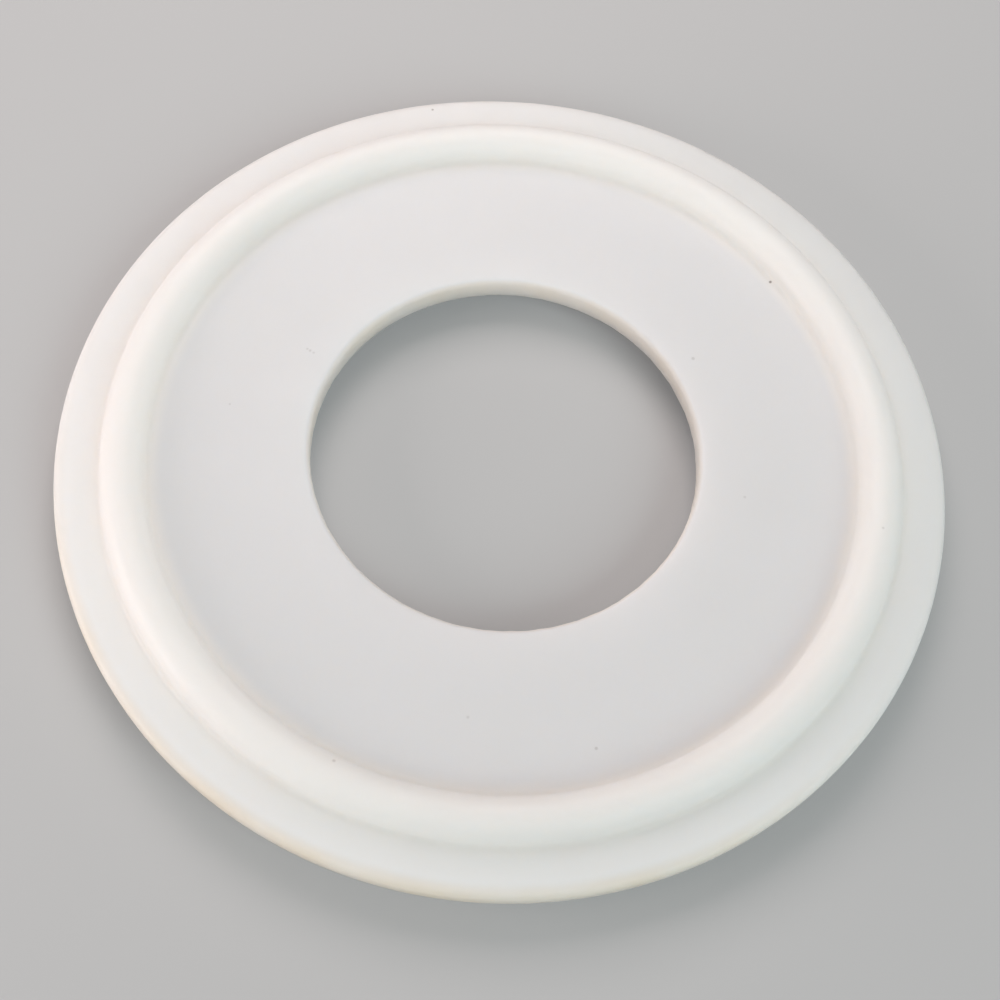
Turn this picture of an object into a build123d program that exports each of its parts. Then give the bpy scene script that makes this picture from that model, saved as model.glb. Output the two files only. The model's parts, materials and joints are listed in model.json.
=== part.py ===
"""One-piece PTFE gasket for a 1 inch sanitary clamp joint.

A flat ring with one round bead on each face. The flat web inside the bead and
the narrow land outside it bear on the two ferrules, the beads lie in the
ferrules' grooves, and the bore is level with the tube's bore. The origin is
the centre of the ring, halfway through its thickness, with +Z along the bore.
"""

import os

from build123d import *

# Sizes, in millimetres
RIM_DIA = 50.5         # outside, as wide as the ferrule's flange
BORE_DIA = 22.2        # hole, level with the bore of a 1 inch tube
WEB_THICK = 1.6        # flat web and outer land, face to face
BEAD_CIRCLE_DIA = 42.8 # circle that the bead's crown runs along
BEAD_WIDTH = 2.5       # where its sides would meet the web
BEAD_HEIGHT = 1.3      # crown above the web's face

# Edge rounds
RIM_ROUND = 0.4        # both edges of the rim
BORE_ROUND = 0.3       # both edges of the bore
FOOT_ROUND = 0.4       # hollows where the bead runs out into the web and land

# A round takes at most this share of the walls beside it
ROUND_SHARE = 0.45

# Corners nearer than this are at the same radius
SAME_PLACE = 0.001

# Places worked out from the sizes
bore_r = BORE_DIA / 2
rim_r = RIM_DIA / 2
bead_r = BEAD_CIRCLE_DIA / 2
bead_inner_r = bead_r - BEAD_WIDTH / 2
bead_outer_r = bead_r + BEAD_WIDTH / 2
web_width = bead_inner_r - bore_r
land_width = rim_r - bead_outer_r
top_z = WEB_THICK / 2
crown_z = top_z + BEAD_HEIGHT


def draw_face(side):
    """Draws one face of the half section, from the bore to the rim."""
    web = Line((bore_r, side * top_z), (bead_inner_r, side * top_z))
    crown = (bead_r, side * crown_z)
    bead = ThreePointArc(web @ 1, crown, (bead_outer_r, side * top_z))
    Line(bead @ 1, (rim_r, side * top_z))


def round_corners(radius, size, *walls):
    """Rounds the section's corners at one radius, as far as the walls there leave room.

    The corners are picked anew each time, because a round redraws the outline.
    """
    corners = half_section.vertices()
    corners = corners.filter_by_position(Axis.X, radius - SAME_PLACE, radius + SAME_PLACE)
    fillet(corners, min(size, ROUND_SHARE * min(walls)))


with BuildPart() as gasket:
    with BuildSketch(Plane.XZ) as half_section:
        with BuildLine():
            draw_face(1)
            draw_face(-1)
            Line((bore_r, -top_z), (bore_r, top_z))
            Line((rim_r, -top_z), (rim_r, top_z))
        make_face()
        round_corners(bore_r, BORE_ROUND, WEB_THICK, web_width)
        round_corners(rim_r, RIM_ROUND, WEB_THICK, land_width)
        round_corners(bead_inner_r, FOOT_ROUND, BEAD_HEIGHT, web_width)
        round_corners(bead_outer_r, FOOT_ROUND, BEAD_HEIGHT, land_width)
    revolve(axis=Axis.Z)

gasket.part.label = "gasket"

os.makedirs("parts", exist_ok=True)
export_step(gasket.part, "parts/gasket.step")
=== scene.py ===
"""Looks for a one-piece PTFE gasket of a 1 inch sanitary clamp joint.

The ring is swept from its half section by a geometry nodes tree, with the
small unevenness of a turned and handled PTFE part, and gets one procedural
PTFE finish. All lengths are in metres.
"""

import json
import math

import bpy
from mathutils import Matrix, Vector


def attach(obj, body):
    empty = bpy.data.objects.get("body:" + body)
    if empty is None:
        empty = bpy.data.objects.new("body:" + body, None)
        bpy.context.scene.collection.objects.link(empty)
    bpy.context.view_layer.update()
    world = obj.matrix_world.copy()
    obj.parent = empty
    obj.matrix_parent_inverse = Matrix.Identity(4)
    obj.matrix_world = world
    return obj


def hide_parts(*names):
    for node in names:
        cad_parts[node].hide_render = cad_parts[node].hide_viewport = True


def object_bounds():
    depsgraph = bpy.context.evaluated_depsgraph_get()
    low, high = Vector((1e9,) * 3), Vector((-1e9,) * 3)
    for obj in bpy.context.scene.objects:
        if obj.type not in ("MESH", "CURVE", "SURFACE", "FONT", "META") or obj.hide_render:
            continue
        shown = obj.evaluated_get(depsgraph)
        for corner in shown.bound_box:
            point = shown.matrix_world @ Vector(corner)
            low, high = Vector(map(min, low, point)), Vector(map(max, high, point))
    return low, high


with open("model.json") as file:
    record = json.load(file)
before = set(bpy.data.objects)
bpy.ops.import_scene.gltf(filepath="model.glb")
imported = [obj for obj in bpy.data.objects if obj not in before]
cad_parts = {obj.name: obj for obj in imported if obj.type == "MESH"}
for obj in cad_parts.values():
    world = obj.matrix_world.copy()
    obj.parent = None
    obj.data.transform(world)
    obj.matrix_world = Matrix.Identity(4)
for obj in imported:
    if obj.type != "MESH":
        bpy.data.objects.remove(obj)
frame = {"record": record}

MM = 0.001

# Sizes of the ring that the frame's record gives
MOUNTS = {mount["name"]: mount for mount in frame["record"]["mounts"]}
CAD_LOW, CAD_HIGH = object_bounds()
RIM_RADIUS = CAD_HIGH.x
BORE_RADIUS = MOUNTS["bore"]["dims"]["r_mm"] * MM
BEAD_CIRCLE_RADIUS = MOUNTS["upper_bead"]["pos_m"][0]
WEB_THICKNESS = 2 * MOUNTS["upper_web"]["pos_m"][2]
BEAD_HEIGHT = CAD_HIGH.z - WEB_THICKNESS / 2

# Sizes of the ring's section, the same as in the part's source
BEAD_WIDTH = 2.5 * MM
RIM_ROUND = 0.4 * MM
BORE_ROUND = 0.3 * MM
FOOT_ROUND = 0.4 * MM

# Sweep of the ring
STEPS_AROUND = 480
LONGEST_STEP = 0.2 * MM
HALF_BEAD_POINTS = 12
FOOT_ARC_POINTS = 6
ROUND_POINTS = 5
WELD_DISTANCE = 0.001 * MM
NOISE_SEED = 7.0

# Unevenness of the turned and handled ring: the land falls by its drop towards the rim
LAND_DROP = 0.10 * MM
WAVE_HEIGHT = 0.05 * MM
WAVE_SCALE = 45.0
DIMPLE_HEIGHT = 0.012 * MM
DIMPLE_SCALE = 420.0
BORE_NICK_HEIGHT = 0.05 * MM
BORE_NICK_SCALE = 1500.0
BORE_NICK_REACH = 0.45 * MM

# Camera: angles in degrees, lens in millimetres
CAMERA_ELEVATION = 64.3
CAMERA_ROLL = -6.8
CAMERA_DISTANCE = 80.5 * MM
CAMERA_AIM = Vector((0.04 * MM, -3.44 * MM, WEB_THICKNESS / 2))
CAMERA_LENS = 51.96

# Stage: the floor runs into the background between the last two reaches
FLOOR_COLOR = (0.47, 0.47, 0.47, 1.0)
FLOOR_ROUGHNESS = 0.9
FLOOR_LIFT = 0.10
FLOOR_REACH = 2.0
SHADOW_REACH = 0.04
FADE_REACH = 0.12
WORLD_FILL = 0.20
BACKGROUND_LEVEL = 0.50

# Colours of the lamps
WARM = (1.0, 0.90, 0.88)
COOL = (0.88, 1.0, 1.0)

# Lamps: name, azimuth and elevation in degrees, distance and width in metres, watts, colour
LAMPS = (
    ("left_key", 200.0, 12.0, 0.15, 0.08, 0.125, WARM),
    ("back_light", 105.0, 50.0, 0.15, 0.10, 0.12, WARM),
    ("right_fill", 315.0, 35.0, 0.40, 0.25, 0.77, COOL),
)


# ---------------------------------------------------------------- node helpers


def add_node(tree, kind, **settings):
    """Adds a node and sets its own settings."""
    node = tree.nodes.new(kind)
    for name, value in settings.items():
        setattr(node, name, value)
    return node


def plug(tree, value, socket):
    """Links an output to a socket, or sets the socket to a plain value."""
    if isinstance(value, bpy.types.NodeSocket):
        tree.links.new(value, socket)
    else:
        socket.default_value = value


def math_node(tree, operation, *values):
    """Adds a Math node on the given outputs or numbers."""
    node = add_node(tree, "ShaderNodeMath", operation=operation)
    for value, socket in zip(values, node.inputs):
        plug(tree, value, socket)
    return node.outputs[0]


def vector_math(tree, operation, *values):
    """Adds a Vector Math node on the given outputs or vectors."""
    node = add_node(tree, "ShaderNodeVectorMath", operation=operation)
    for value, socket in zip(values, node.inputs):
        plug(tree, value, socket)
    return node.outputs[1 if operation in ("LENGTH", "DISTANCE", "DOT_PRODUCT") else 0]


def vector_scale(tree, vector, factor):
    """Scales a vector by a number."""
    node = add_node(tree, "ShaderNodeVectorMath", operation="SCALE")
    plug(tree, vector, node.inputs["Vector"])
    plug(tree, factor, node.inputs["Scale"])
    return node.outputs[0]


def combine(tree, x=0.0, y=0.0, z=0.0):
    """Adds a Combine XYZ node."""
    node = add_node(tree, "ShaderNodeCombineXYZ")
    for value, socket in zip((x, y, z), node.inputs):
        plug(tree, value, socket)
    return node.outputs[0]


def separate(tree, vector):
    """Adds a Separate XYZ node and returns its three outputs."""
    node = add_node(tree, "ShaderNodeSeparateXYZ")
    plug(tree, vector, node.inputs[0])
    return node.outputs


def map_range(tree, value, low, high, to_low=0.0, to_high=1.0):
    """Adds a smooth, clamped Map Range node."""
    node = add_node(tree, "ShaderNodeMapRange", interpolation_type="SMOOTHSTEP")
    for entry, socket in zip((value, low, high, to_low, to_high), node.inputs):
        plug(tree, entry, socket)
    return node.outputs[0]


# ------------------------------------------------------- the ring's nodes tree


RING_INPUTS = (
    ("Rim Radius", "NodeSocketFloat", RIM_RADIUS),
    ("Bore Radius", "NodeSocketFloat", BORE_RADIUS),
    ("Web Thickness", "NodeSocketFloat", WEB_THICKNESS),
    ("Bead Circle Radius", "NodeSocketFloat", BEAD_CIRCLE_RADIUS),
    ("Bead Width", "NodeSocketFloat", BEAD_WIDTH),
    ("Bead Height", "NodeSocketFloat", BEAD_HEIGHT),
    ("Rim Round", "NodeSocketFloat", RIM_ROUND),
    ("Bore Round", "NodeSocketFloat", BORE_ROUND),
    ("Foot Round", "NodeSocketFloat", FOOT_ROUND),
    ("Land Drop", "NodeSocketFloat", LAND_DROP),
    ("Longest Step", "NodeSocketFloat", LONGEST_STEP),
    ("Steps Around", "NodeSocketInt", STEPS_AROUND),
    ("Wave Height", "NodeSocketFloat", WAVE_HEIGHT),
    ("Dimple Height", "NodeSocketFloat", DIMPLE_HEIGHT),
    ("Bore Nick Height", "NodeSocketFloat", BORE_NICK_HEIGHT),
    ("Seed", "NodeSocketFloat", NOISE_SEED),
)


def draw_line(tree, start, end):
    """Adds a straight stretch of the section."""
    node = add_node(tree, "GeometryNodeCurvePrimitiveLine")
    plug(tree, start, node.inputs["Start"])
    plug(tree, end, node.inputs["End"])
    return node.outputs["Curve"]


def draw_arc(tree, start, middle, end, points):
    """Adds an arc of the section through three points."""
    node = add_node(tree, "GeometryNodeCurveArc", mode="POINTS")
    node.inputs["Resolution"].default_value = points
    plug(tree, start, node.inputs["Start"])
    plug(tree, middle, node.inputs["Middle"])
    plug(tree, end, node.inputs["End"])
    return node.outputs["Curve"]


def join(tree, *parts):
    """Joins pieces of geometry, in their order."""
    node = add_node(tree, "GeometryNodeJoinGeometry")
    for part in reversed(parts):
        tree.links.new(part, node.inputs[0])
    return node.outputs[0]


def equal(tree, a, b):
    """Adds a comparison that is true where two lengths are the same."""
    node = add_node(tree, "FunctionNodeCompare", operation="EQUAL")
    plug(tree, a, node.inputs["A"])
    plug(tree, b, node.inputs["B"])
    node.inputs["Epsilon"].default_value = WELD_DISTANCE
    return node.outputs[0]


def choose(tree, when, yes, no, kind="FLOAT"):
    """Adds a switch: yes where the condition holds, otherwise no."""
    node = add_node(tree, "GeometryNodeSwitch", input_type=kind)
    plug(tree, when, node.inputs["Switch"])
    plug(tree, no, node.inputs["False"])
    plug(tree, yes, node.inputs["True"])
    return node.outputs[0]


def draw_bead(tree, size, face):
    """The bead's outer half: from its crown to where its foot meets the land."""
    foot = math_node(tree, "MULTIPLY", size["Bead Width"], 0.5)
    height = size["Bead Height"]
    fillet = size["Foot Round"]

    # The bead is an arc that would meet the web half its width out
    squares = math_node(tree, "MULTIPLY_ADD", foot, foot, math_node(tree, "MULTIPLY", height, height))
    radius = math_node(tree, "DIVIDE", squares, math_node(tree, "MULTIPLY", height, 2.0))
    centre = math_node(tree, "SUBTRACT", height, radius)

    # The foot's hollow touches that arc and the web
    apart = math_node(tree, "ADD", radius, fillet)
    lift = math_node(tree, "SUBTRACT", fillet, centre)
    room = math_node(tree, "MULTIPLY", apart, apart)
    room = math_node(tree, "SUBTRACT", room, math_node(tree, "MULTIPLY", lift, lift))
    reach = math_node(tree, "SQRT", room)

    bead_centre = combine(tree, 0.0, math_node(tree, "ADD", face, centre))
    foot_centre = combine(tree, reach, math_node(tree, "ADD", face, fillet))
    crown = combine(tree, 0.0, math_node(tree, "ADD", face, height))
    to_foot = vector_math(tree, "NORMALIZE", vector_math(tree, "SUBTRACT", foot_centre, bead_centre))
    touch = vector_math(tree, "ADD", bead_centre, vector_scale(tree, to_foot, radius))
    down = (0.0, -1.0, 0.0)
    bisector = vector_math(tree, "NORMALIZE", vector_math(tree, "SUBTRACT", down, to_foot))
    foot_middle = vector_math(tree, "ADD", foot_centre, vector_scale(tree, bisector, fillet))
    to_shoulder = vector_math(tree, "NORMALIZE", vector_math(tree, "SUBTRACT", to_foot, down))
    shoulder = vector_math(tree, "ADD", bead_centre, vector_scale(tree, to_shoulder, radius))

    round_top = draw_arc(tree, crown, shoulder, touch, HALF_BEAD_POINTS)
    foot_end = combine(tree, reach, face)
    foot_arc = draw_arc(tree, touch, foot_middle, foot_end, FOOT_ARC_POINTS)
    return join(tree, round_top, foot_arc), reach


def mirrored(tree, geometry, scale):
    """Adds a mirrored copy of a stretch of the section."""
    node = add_node(tree, "GeometryNodeTransform")
    plug(tree, geometry, node.inputs["Geometry"])
    node.inputs["Scale"].default_value = scale
    return node.outputs[0]


def half_section(tree, size):
    """The closed section of the ring: x from the bead's circle, y up."""
    face = math_node(tree, "MULTIPLY", size["Web Thickness"], 0.5)
    rim = math_node(tree, "SUBTRACT", size["Rim Radius"], size["Bead Circle Radius"])
    bore = math_node(tree, "SUBTRACT", size["Bore Radius"], size["Bead Circle Radius"])
    rim_top = math_node(tree, "SUBTRACT", face, size["Land Drop"])
    rim_foot = math_node(tree, "MULTIPLY", rim_top, -1.0)
    bore_foot = math_node(tree, "MULTIPLY", face, -1.0)

    outer_bead, reach = draw_bead(tree, size, face)
    inner_bead = mirrored(tree, outer_bead, (-1.0, 1.0, 1.0))
    inner_reach = math_node(tree, "MULTIPLY", reach, -1.0)
    web = draw_line(tree, combine(tree, bore, face), combine(tree, inner_reach, face))
    land = draw_line(tree, combine(tree, reach, face), combine(tree, rim, rim_top))
    upper = join(tree, web, inner_bead, outer_bead, land)
    lower = mirrored(tree, upper, (1.0, -1.0, 1.0))
    rim_wall = draw_line(tree, combine(tree, rim, rim_top), combine(tree, rim, rim_foot))
    bore_wall = draw_line(tree, combine(tree, bore, face), combine(tree, bore, bore_foot))
    outline = join(tree, upper, lower, rim_wall, bore_wall)
    return weld_outline(tree, outline), rim, bore


def weld_outline(tree, outline):
    """Welds the loose stretches of the section into one closed curve."""
    edges = add_node(tree, "GeometryNodeCurveToMesh")
    plug(tree, outline, edges.inputs["Curve"])
    weld = add_node(tree, "GeometryNodeMergeByDistance")
    plug(tree, edges.outputs[0], weld.inputs["Geometry"])
    weld.inputs["Distance"].default_value = WELD_DISTANCE
    curve = add_node(tree, "GeometryNodeMeshToCurve")
    plug(tree, weld.outputs[0], curve.inputs[0])
    return curve.outputs[0]


def round_corners(tree, curve, size, rim, bore):
    """Rounds the section's corners at the rim and at the bore."""
    x, _, _ = separate(tree, add_node(tree, "GeometryNodeInputPosition").outputs[0])
    at_bore = equal(tree, x, bore)
    at_rim = equal(tree, x, rim)
    radius = choose(tree, at_bore, size["Bore Round"], 0.0)
    radius = choose(tree, at_rim, size["Rim Round"], radius)
    count = choose(tree, at_bore, ROUND_POINTS, 1, kind="INT")
    count = choose(tree, at_rim, ROUND_POINTS, count, kind="INT")
    fillet = add_node(tree, "GeometryNodeFilletCurve", mode="POLY")
    plug(tree, curve, fillet.inputs["Curve"])
    plug(tree, radius, fillet.inputs["Radius"])
    plug(tree, count, fillet.inputs["Count"])
    fillet.inputs["Limit Radius"].default_value = True
    return fillet.outputs[0]


def divide_stretches(tree, curve, size):
    """Divides the long stretches of the section into short steps."""
    position = add_node(tree, "GeometryNodeInputPosition").outputs[0]
    following = add_node(tree, "GeometryNodeOffsetPointInCurve")
    plug(tree, add_node(tree, "GeometryNodeInputIndex").outputs[0], following.inputs["Point Index"])
    following.inputs["Offset"].default_value = 1
    next_position = add_node(tree, "GeometryNodeFieldAtIndex", data_type="FLOAT_VECTOR")
    plug(tree, following.outputs["Point Index"], next_position.inputs["Index"])
    plug(tree, position, next_position.inputs["Value"])
    length = vector_math(tree, "DISTANCE", position, next_position.outputs[0])
    steps = math_node(tree, "DIVIDE", length, size["Longest Step"])
    cuts = math_node(tree, "FLOOR", steps)
    divide = add_node(tree, "GeometryNodeSubdivideCurve")
    plug(tree, curve, divide.inputs["Curve"])
    plug(tree, cuts, divide.inputs["Cuts"])
    return divide.outputs[0]


def sweep(tree, section, size):
    """Sweeps the section round the bead's circle into a closed ring."""
    circle = add_node(tree, "GeometryNodeCurvePrimitiveCircle", mode="RADIUS")
    plug(tree, size["Steps Around"], circle.inputs["Resolution"])
    plug(tree, size["Bead Circle Radius"], circle.inputs["Radius"])
    ring = add_node(tree, "GeometryNodeCurveToMesh")
    plug(tree, circle.outputs[0], ring.inputs["Curve"])
    plug(tree, section, ring.inputs["Profile Curve"])
    weld = add_node(tree, "GeometryNodeMergeByDistance")
    plug(tree, ring.outputs[0], weld.inputs["Geometry"])
    weld.inputs["Distance"].default_value = WELD_DISTANCE
    outward = add_node(tree, "GeometryNodeFlipFaces")
    plug(tree, weld.outputs[0], outward.inputs[0])
    return outward.outputs[0]


def noise_field(tree, scale, seed, detail=2.0):
    """Noise at a place on the ring, from -1 to 1."""
    noise = add_node(tree, "ShaderNodeTexNoise", noise_dimensions="4D")
    position = add_node(tree, "GeometryNodeInputPosition").outputs[0]
    plug(tree, position, noise.inputs["Vector"])
    plug(tree, seed, noise.inputs["W"])
    noise.inputs["Scale"].default_value = scale
    noise.inputs["Detail"].default_value = detail
    centred = math_node(tree, "SUBTRACT", noise.outputs[0], 0.5)
    return math_node(tree, "MULTIPLY", centred, 2.0)


def move_by(tree, ring, offset):
    """Moves the ring's points by an offset."""
    node = add_node(tree, "GeometryNodeSetPosition")
    plug(tree, ring, node.inputs["Geometry"])
    plug(tree, offset, node.inputs["Offset"])
    return node.outputs[0]


def wave_offset(tree, size):
    """The slow out-of-flat wave of a thin soft ring."""
    wave = noise_field(tree, WAVE_SCALE, size["Seed"], 0.0)
    rise = math_node(tree, "MULTIPLY", wave, size["Wave Height"])
    return combine(tree, 0.0, 0.0, rise)


def dimple_offset(tree, size):
    """Shallow dimples along the surface's own direction."""
    dimple = noise_field(tree, DIMPLE_SCALE, size["Seed"])
    height = math_node(tree, "MULTIPLY", dimple, size["Dimple Height"])
    normal = add_node(tree, "GeometryNodeInputNormal").outputs[0]
    return vector_scale(tree, normal, height)


def bore_nick_offset(tree, size):
    """The ragged edge that a cutter leaves in soft PTFE at the bore."""
    position = add_node(tree, "GeometryNodeInputPosition").outputs[0]
    flat = vector_math(tree, "MULTIPLY", position, (1.0, 1.0, 0.0))
    depth = math_node(tree, "SUBTRACT", vector_math(tree, "LENGTH", flat), size["Bore Radius"])
    near_bore = map_range(tree, depth, 0.0, BORE_NICK_REACH, 1.0, 0.0)
    nick = math_node(tree, "MULTIPLY", noise_field(tree, BORE_NICK_SCALE, size["Seed"]), near_bore)
    outward = math_node(tree, "MULTIPLY", nick, size["Bore Nick Height"])
    return vector_scale(tree, vector_math(tree, "NORMALIZE", flat), outward)


def ring_tree(finish):
    """Builds the nodes tree that draws, rounds, sweeps and finishes the ring."""
    tree = bpy.data.node_groups.new("gasket_ring", "GeometryNodeTree")
    for name, kind, value in RING_INPUTS:
        socket = tree.interface.new_socket(name=name, in_out="INPUT", socket_type=kind)
        socket.default_value = value
    tree.interface.new_socket(name="Ring", in_out="OUTPUT", socket_type="NodeSocketGeometry")
    size = add_node(tree, "NodeGroupInput").outputs
    outline, rim, bore = half_section(tree, size)
    section = round_corners(tree, outline, size, rim, bore)
    section = divide_stretches(tree, section, size)
    ring = sweep(tree, section, size)
    ring = move_by(tree, ring, wave_offset(tree, size))
    ring = move_by(tree, ring, dimple_offset(tree, size))
    ring = move_by(tree, ring, bore_nick_offset(tree, size))
    smooth = add_node(tree, "GeometryNodeSetShadeSmooth")
    plug(tree, ring, smooth.inputs["Geometry"])
    solid = add_node(tree, "GeometryNodeRealizeInstances")
    plug(tree, smooth.outputs[0], solid.inputs["Geometry"])
    dressed = add_node(tree, "GeometryNodeSetMaterial")
    plug(tree, solid.outputs[0], dressed.inputs["Geometry"])
    dressed.inputs["Material"].default_value = finish
    result = add_node(tree, "NodeGroupOutput")
    plug(tree, dressed.outputs[0], result.inputs[0])
    return tree


def make_ring(finish):
    """Makes the ring as a plain mesh that stands for the CAD gasket."""
    tree = ring_tree(finish)
    drawing = bpy.data.objects.new("ring_drawing", bpy.data.meshes.new("ring_drawing"))
    bpy.context.scene.collection.objects.link(drawing)
    modifier = drawing.modifiers.new("ring", "NODES")
    modifier.node_group = tree
    sockets = {item.name: item.identifier for item in tree.interface.items_tree}
    for name, _, value in RING_INPUTS:
        modifier[sockets[name]] = value
    graph = bpy.context.evaluated_depsgraph_get()
    mesh = bpy.data.meshes.new_from_object(drawing.evaluated_get(graph))
    mesh.name = "gasket_ring"
    bpy.data.objects.remove(drawing)
    ring = bpy.data.objects.new("gasket_ring", mesh)
    bpy.context.scene.collection.objects.link(ring)
    return ring


# ------------------------------------------------------------------ the finish


# Colours of the finish
# The three whites are painted light and shade: the thin web darker, the thick bead and the land lighter
# and warmer
WEB_SHADE_WHITE = (0.838, 0.830, 0.832, 1.0)
BEAD_GLOW_WHITE = (0.935, 0.898, 0.862, 1.0)
LAND_GLOW_WHITE = (0.932, 0.910, 0.880, 1.0)
CLOUD_GREY = (0.80, 0.80, 0.785, 1.0)
# Tan of a painted warm reflection on the side walls
WARM_REFLECTION_TAN = (0.84, 0.72, 0.59, 1.0)
SPECK_BROWN = (0.17, 0.13, 0.10, 1.0)
DUST_GREY = (0.52, 0.48, 0.43, 1.0)

# How far the bead's painted glow reaches into the web and land, where it lifts the shade in the bead's
# feet
BEAD_GLOW_REACH = 1.0 * MM

# Cloudy patches
CLOUD_SCALE = 110.0
CLOUD_STRENGTH = 0.22

# Painted warm reflection on the side walls, strongest on the rim at the azimuth of the side it comes from
RIM_REFLECTION_REACH = 0.9 * MM
BORE_REFLECTION_REACH = 0.25 * MM
REFLECTION_SIDE = 255.0
NEAR_RIM_REFLECTION = 1.0
FAR_RIM_REFLECTION = 0.2
BORE_REFLECTION = 0.6
REFLECTION_PATCH_SCALE = 260.0
THINNEST_REFLECTION = 0.7

# Tiny inclusions: cells to the metre, their reach in cells and how many cells have one
DUST_SCALE = 260.0
DUST_REACH = 0.035
DUST_CORE = 0.015
DUST_SHARE = 0.3
DUST_STRENGTH = 0.45

# Fine relief
GRAIN_SCALE = 2600.0
TURNED_SCALE = 5200.0
TURNED_SHARE = 0.35
RELIEF_HEIGHT = 0.01 * MM
RELIEF_STRENGTH = 0.25

# Gloss and translucency of PTFE
GLOSS_SCALE = 700.0
LEAST_ROUGHNESS = 0.40
MOST_ROUGHNESS = 0.54
PTFE_IOR = 1.35
SCATTER_RADIUS = (1.0, 0.95, 0.9)
SCATTER_SCALE = 2.5 * MM

# Part of a speck's width that is as dark as it gets
SPECK_CORE = 0.3

# Specks on the upper face: radius in millimetres, azimuth in degrees, width in millimetres, strength
SPECKS = (
    (19.90, 42.0, 0.12, 0.70),
    (24.60, 107.0, 0.11, 0.50),
    (13.05, 158.5, 0.11, 0.16),
    (12.85, 158.6, 0.12, 0.20),
    (12.60, 158.7, 0.11, 0.16),
    (12.65, 35.0, 0.15, 0.22),
    (18.15, 291.0, 0.13, 0.25),
    (20.60, 251.0, 0.13, 0.22),
    (21.40, 352.0, 0.11, 0.18),
    (13.80, 354.0, 0.12, 0.15),
    (16.10, 269.0, 0.12, 0.15),
    (15.90, 178.0, 0.10, 0.15),
)


def mix_color(tree, factor, below, above):
    """Adds a colour Mix node."""
    node = add_node(tree, "ShaderNodeMix", data_type="RGBA")
    plug(tree, factor, node.inputs[0])
    plug(tree, below, node.inputs[6])
    plug(tree, above, node.inputs[7])
    return node.outputs[2]


def surface_noise(tree, place, scale, detail=2.0):
    """Adds noise over the ring's surface, from 0 to 1."""
    node = add_node(tree, "ShaderNodeTexNoise")
    plug(tree, place, node.inputs["Vector"])
    node.inputs["Scale"].default_value = scale
    node.inputs["Detail"].default_value = detail
    return node.outputs[0]


def painted_glow_zones(tree, radius):
    """Painted light and shade in the whites: a darker white on the thin web, a lighter, warmer white on
    the thick bead and the outer land.
    """
    from_crown = math_node(tree, "ABSOLUTE", math_node(tree, "SUBTRACT", radius, BEAD_CIRCLE_RADIUS))
    half = BEAD_WIDTH / 2
    # Painted glow of the thick bead, reaching into the web and land over the shade of its feet
    bead_glow = map_range(tree, from_crown, half + BEAD_GLOW_REACH, half)
    outside = map_range(tree, radius, BEAD_CIRCLE_RADIUS, BEAD_CIRCLE_RADIUS + half)
    flat_color = mix_color(tree, outside, WEB_SHADE_WHITE, LAND_GLOW_WHITE)
    return mix_color(tree, bead_glow, flat_color, BEAD_GLOW_WHITE)


def clouded(tree, place, color):
    """Faint cloudy patches, as in sintered PTFE."""
    patches = map_range(tree, surface_noise(tree, place, CLOUD_SCALE), 0.35, 0.85, 0.0, CLOUD_STRENGTH)
    return mix_color(tree, patches, color, CLOUD_GREY)


def warm_reflection_walls(tree, place, radius, color):
    """A painted warm reflection as a tan, on the rim and more faintly on the bore's wall."""
    on_rim = map_range(tree, radius, RIM_RADIUS - RIM_REFLECTION_REACH, RIM_RADIUS)
    on_bore = map_range(tree, radius, BORE_RADIUS, BORE_RADIUS + BORE_REFLECTION_REACH, 1.0, 0.0)
    turn = math.radians(REFLECTION_SIDE)
    toward_reflection = (math.cos(turn), math.sin(turn), 0.0)
    facing = vector_math(tree, "DOT_PRODUCT", vector_math(tree, "NORMALIZE", place), toward_reflection)
    rim_share = map_range(tree, facing, 0.2, 0.9, FAR_RIM_REFLECTION, NEAR_RIM_REFLECTION)
    rim_reflection = math_node(tree, "MULTIPLY", on_rim, rim_share)
    bore_reflection = math_node(tree, "MULTIPLY", on_bore, BORE_REFLECTION)
    patches = map_range(tree, surface_noise(tree, place, REFLECTION_PATCH_SCALE), 0.3, 0.7, THINNEST_REFLECTION, 1.0)
    # Painted warm reflection, patchy, on the rim and the bore's wall
    warm_reflection = math_node(tree, "MULTIPLY", math_node(tree, "MAXIMUM", rim_reflection, bore_reflection), patches)
    return mix_color(tree, warm_reflection, color, WARM_REFLECTION_TAN)


def specked(tree, place, height, color):
    """The few dark specks that sit on the upper face."""
    above = math_node(tree, "GREATER_THAN", height, 0.0)
    flat_place = vector_math(tree, "MULTIPLY", place, (1.0, 1.0, 0.0))
    cover = 0.0
    for radius, azimuth, width, strength in SPECKS:
        turn = math.radians(azimuth)
        centre = (radius * MM * math.cos(turn), radius * MM * math.sin(turn), 0.0)
        distance = vector_math(tree, "DISTANCE", flat_place, centre)
        spot = map_range(tree, distance, width * MM, width * MM * SPECK_CORE, 0.0, strength)
        cover = math_node(tree, "MAXIMUM", cover, spot)
    return mix_color(tree, math_node(tree, "MULTIPLY", cover, above), color, SPECK_BROWN)


def dusted(tree, place, color):
    """Sparse tiny inclusions all over the ring."""
    cells = add_node(tree, "ShaderNodeTexVoronoi", feature="F1")
    plug(tree, place, cells.inputs["Vector"])
    cells.inputs["Scale"].default_value = DUST_SCALE
    cells.inputs["Randomness"].default_value = 1.0
    dot = map_range(tree, cells.outputs["Distance"], DUST_REACH, DUST_CORE)
    rare = math_node(tree, "GREATER_THAN", separate(tree, cells.outputs["Color"])[0], 1.0 - DUST_SHARE)
    cover = math_node(tree, "MULTIPLY", math_node(tree, "MULTIPLY", dot, rare), DUST_STRENGTH)
    return mix_color(tree, cover, color, DUST_GREY)


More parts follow.
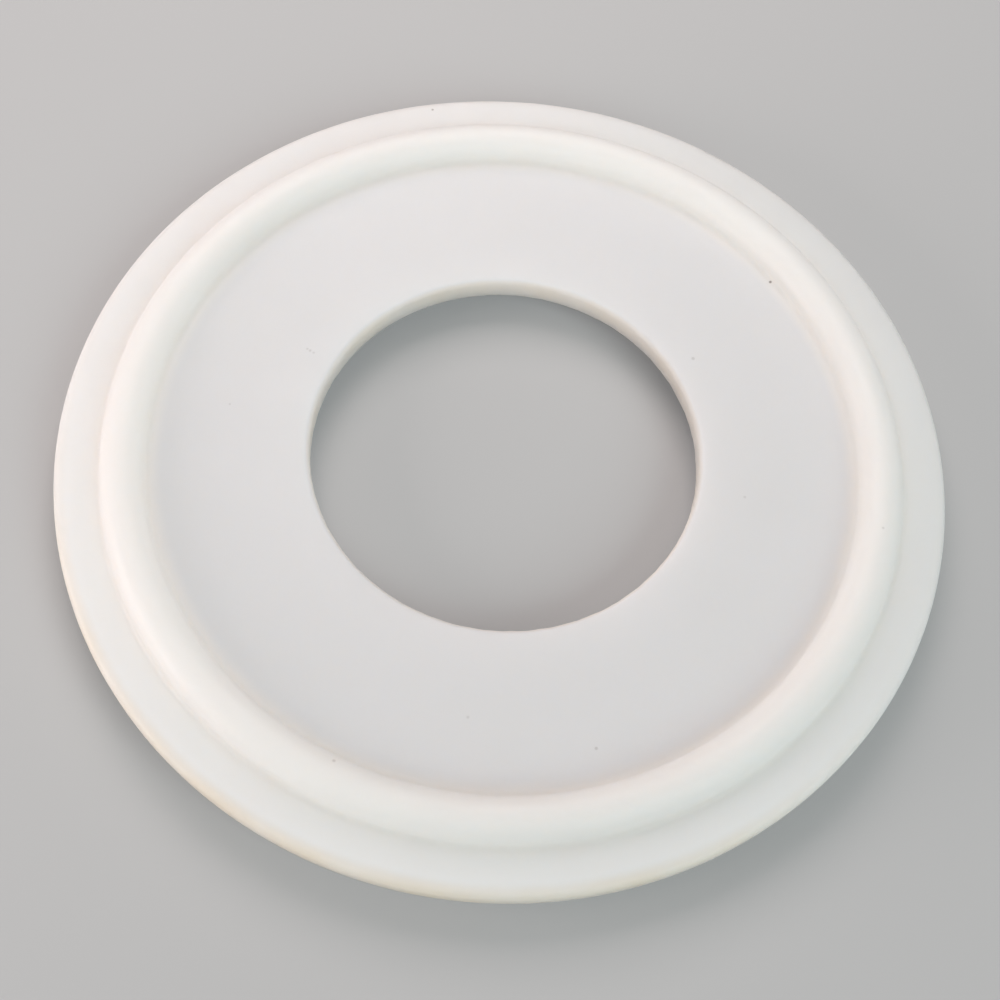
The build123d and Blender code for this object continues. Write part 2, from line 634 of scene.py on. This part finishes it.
def surface_relief(tree, place, radius):
    """Fine grain of the PTFE and the faint rings that turning leaves."""
    grain = surface_noise(tree, place, GRAIN_SCALE, detail=3.0)
    turned = surface_noise(tree, combine(tree, radius), TURNED_SCALE, detail=1.0)
    relief = math_node(tree, "MULTIPLY_ADD", turned, TURNED_SHARE, grain)
    bump = add_node(tree, "ShaderNodeBump")
    bump.inputs["Strength"].default_value = RELIEF_STRENGTH
    bump.inputs["Distance"].default_value = RELIEF_HEIGHT
    plug(tree, relief, bump.inputs["Height"])
    return bump.outputs["Normal"]


def ptfe_finish():
    """Satin white PTFE, a little translucent."""
    material = bpy.data.materials.new("ptfe_white")
    material.use_nodes = True
    tree = material.node_tree
    tree.nodes.clear()
    place = add_node(tree, "ShaderNodeTexCoord").outputs["Object"]
    height = separate(tree, place)[2]
    radius = vector_math(tree, "LENGTH", vector_math(tree, "MULTIPLY", place, (1.0, 1.0, 0.0)))

    # Base colour: painted light and shade by zone, then a painted warm reflection on the side walls
    color = clouded(tree, place, painted_glow_zones(tree, radius))
    # Painted warm reflection as a tan on the side walls
    color = warm_reflection_walls(tree, place, radius, color)
    color = dusted(tree, place, color)
    color = specked(tree, place, height, color)
    gloss = surface_noise(tree, place, GLOSS_SCALE, detail=3.0)
    roughness = map_range(tree, gloss, 0.2, 0.8, LEAST_ROUGHNESS, MOST_ROUGHNESS)

    shader = add_node(tree, "ShaderNodeBsdfPrincipled")
    plug(tree, color, shader.inputs["Base Color"])
    plug(tree, roughness, shader.inputs["Roughness"])
    plug(tree, surface_relief(tree, place, radius), shader.inputs["Normal"])
    shader.inputs["IOR"].default_value = PTFE_IOR
    shader.inputs["Subsurface Weight"].default_value = 1.0
    shader.inputs["Subsurface Radius"].default_value = SCATTER_RADIUS
    shader.inputs["Subsurface Scale"].default_value = SCATTER_SCALE
    output = add_node(tree, "ShaderNodeOutputMaterial")
    tree.links.new(shader.outputs[0], output.inputs["Surface"])
    return material


# ------------------------------------------------------------------- the stage


def seen_directly(tree):
    """1 on the rays that show the stage, 0 on those that light the gasket."""
    path = add_node(tree, "ShaderNodeLightPath").outputs
    seen = math_node(tree, "MAXIMUM", path["Is Camera Ray"], path["Is Glossy Ray"])
    return math_node(tree, "MAXIMUM", seen, path["Is Transmission Ray"])


def floor_finish():
    """Plain pale grey that keeps the gasket's shadow and runs into the background further out."""
    material = bpy.data.materials.new("pale_floor")
    material.use_nodes = True
    tree = material.node_tree
    shader = tree.nodes["Principled BSDF"]
    shader.inputs["Base Color"].default_value = FLOOR_COLOR
    shader.inputs["Roughness"].default_value = FLOOR_ROUGHNESS
    shader.inputs["Specular IOR Level"].default_value = 0.0
    shader.inputs["Emission Color"].default_value = (1.0, 1.0, 1.0, 1.0)
    seen = seen_directly(tree)
    plug(tree, math_node(tree, "MULTIPLY", seen, FLOOR_LIFT), shader.inputs["Emission Strength"])

    place = add_node(tree, "ShaderNodeTexCoord").outputs["Object"]
    from_centre = vector_math(tree, "LENGTH", place)
    far_off = map_range(tree, from_centre, SHADOW_REACH, FADE_REACH)
    plain = add_node(tree, "ShaderNodeEmission")
    plain.inputs["Strength"].default_value = BACKGROUND_LEVEL
    blend = add_node(tree, "ShaderNodeMixShader")
    plug(tree, math_node(tree, "MULTIPLY", far_off, seen), blend.inputs[0])
    plug(tree, shader.outputs[0], blend.inputs[1])
    plug(tree, plain.outputs[0], blend.inputs[2])
    tree.links.new(blend.outputs[0], tree.nodes["Material Output"].inputs["Surface"])
    return material


def make_floor(ring):
    """A plain floor under the bead that the gasket rests on."""
    mesh = bpy.data.meshes.new("floor")
    low = min(vertex.co.z for vertex in ring.data.vertices)
    far = FLOOR_REACH
    corners = [(-far, -far, low), (far, -far, low), (far, far, low), (-far, far, low)]
    mesh.from_pydata(corners, [], [(0, 1, 2, 3)])
    mesh.materials.append(floor_finish())
    floor = bpy.data.objects.new("floor", mesh)
    bpy.context.scene.collection.objects.link(floor)


def make_world():
    """Even soft fill from all round, in front of a pale background."""
    world = bpy.data.worlds.new("studio")
    bpy.context.scene.world = world
    world.use_nodes = True
    tree = world.node_tree
    background = tree.nodes["Background"]
    background.inputs["Color"].default_value = (1.0, 1.0, 1.0, 1.0)
    extra = BACKGROUND_LEVEL - WORLD_FILL
    strength = math_node(tree, "MULTIPLY_ADD", seen_directly(tree), extra, WORLD_FILL)
    plug(tree, strength, background.inputs["Strength"])


def make_lamp(name, azimuth, elevation, distance, width, power, color):
    """A square soft lamp that points at the gasket."""
    data = bpy.data.lights.new(name, "AREA")
    data.size = width
    data.energy = power
    data.color = color
    lamp = bpy.data.objects.new(name, data)
    turn, rise = math.radians(azimuth), math.radians(elevation)
    direction = Vector((math.cos(rise) * math.cos(turn), math.cos(rise) * math.sin(turn), math.sin(rise)))
    lamp.location = direction * distance
    lamp.rotation_euler = direction.to_track_quat("Z", "Y").to_euler()
    bpy.context.scene.collection.objects.link(lamp)


def make_camera():
    """The camera, in front of the ring and high above it, rolled a little."""
    rise, roll = math.radians(CAMERA_ELEVATION), math.radians(CAMERA_ROLL)
    right = Vector((1.0, 0.0, 0.0))
    up = Vector((0.0, math.sin(rise), math.cos(rise)))
    back = right.cross(up)
    rolled_right = right * math.cos(roll) - up * math.sin(roll)
    rolled_up = right * math.sin(roll) + up * math.cos(roll)
    data = bpy.data.cameras.new("camera")
    data.lens = CAMERA_LENS
    data.clip_start = MM
    camera = bpy.data.objects.new("camera", data)
    bpy.context.scene.collection.objects.link(camera)
    turn = Matrix((rolled_right, rolled_up, back)).transposed()
    camera.matrix_world = Matrix.Translation(CAMERA_AIM + back * CAMERA_DISTANCE) @ turn.to_4x4()
    bpy.context.scene.camera = camera


# ------------------------------------------------------------------------ build


finish = ptfe_finish()
ring = make_ring(finish)
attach(ring, "root")
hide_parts("gasket")

make_floor(ring)
make_world()
for lamp_settings in LAMPS:
    make_lamp(*lamp_settings)
make_camera()
bpy.context.scene.view_settings.view_transform = "Standard"
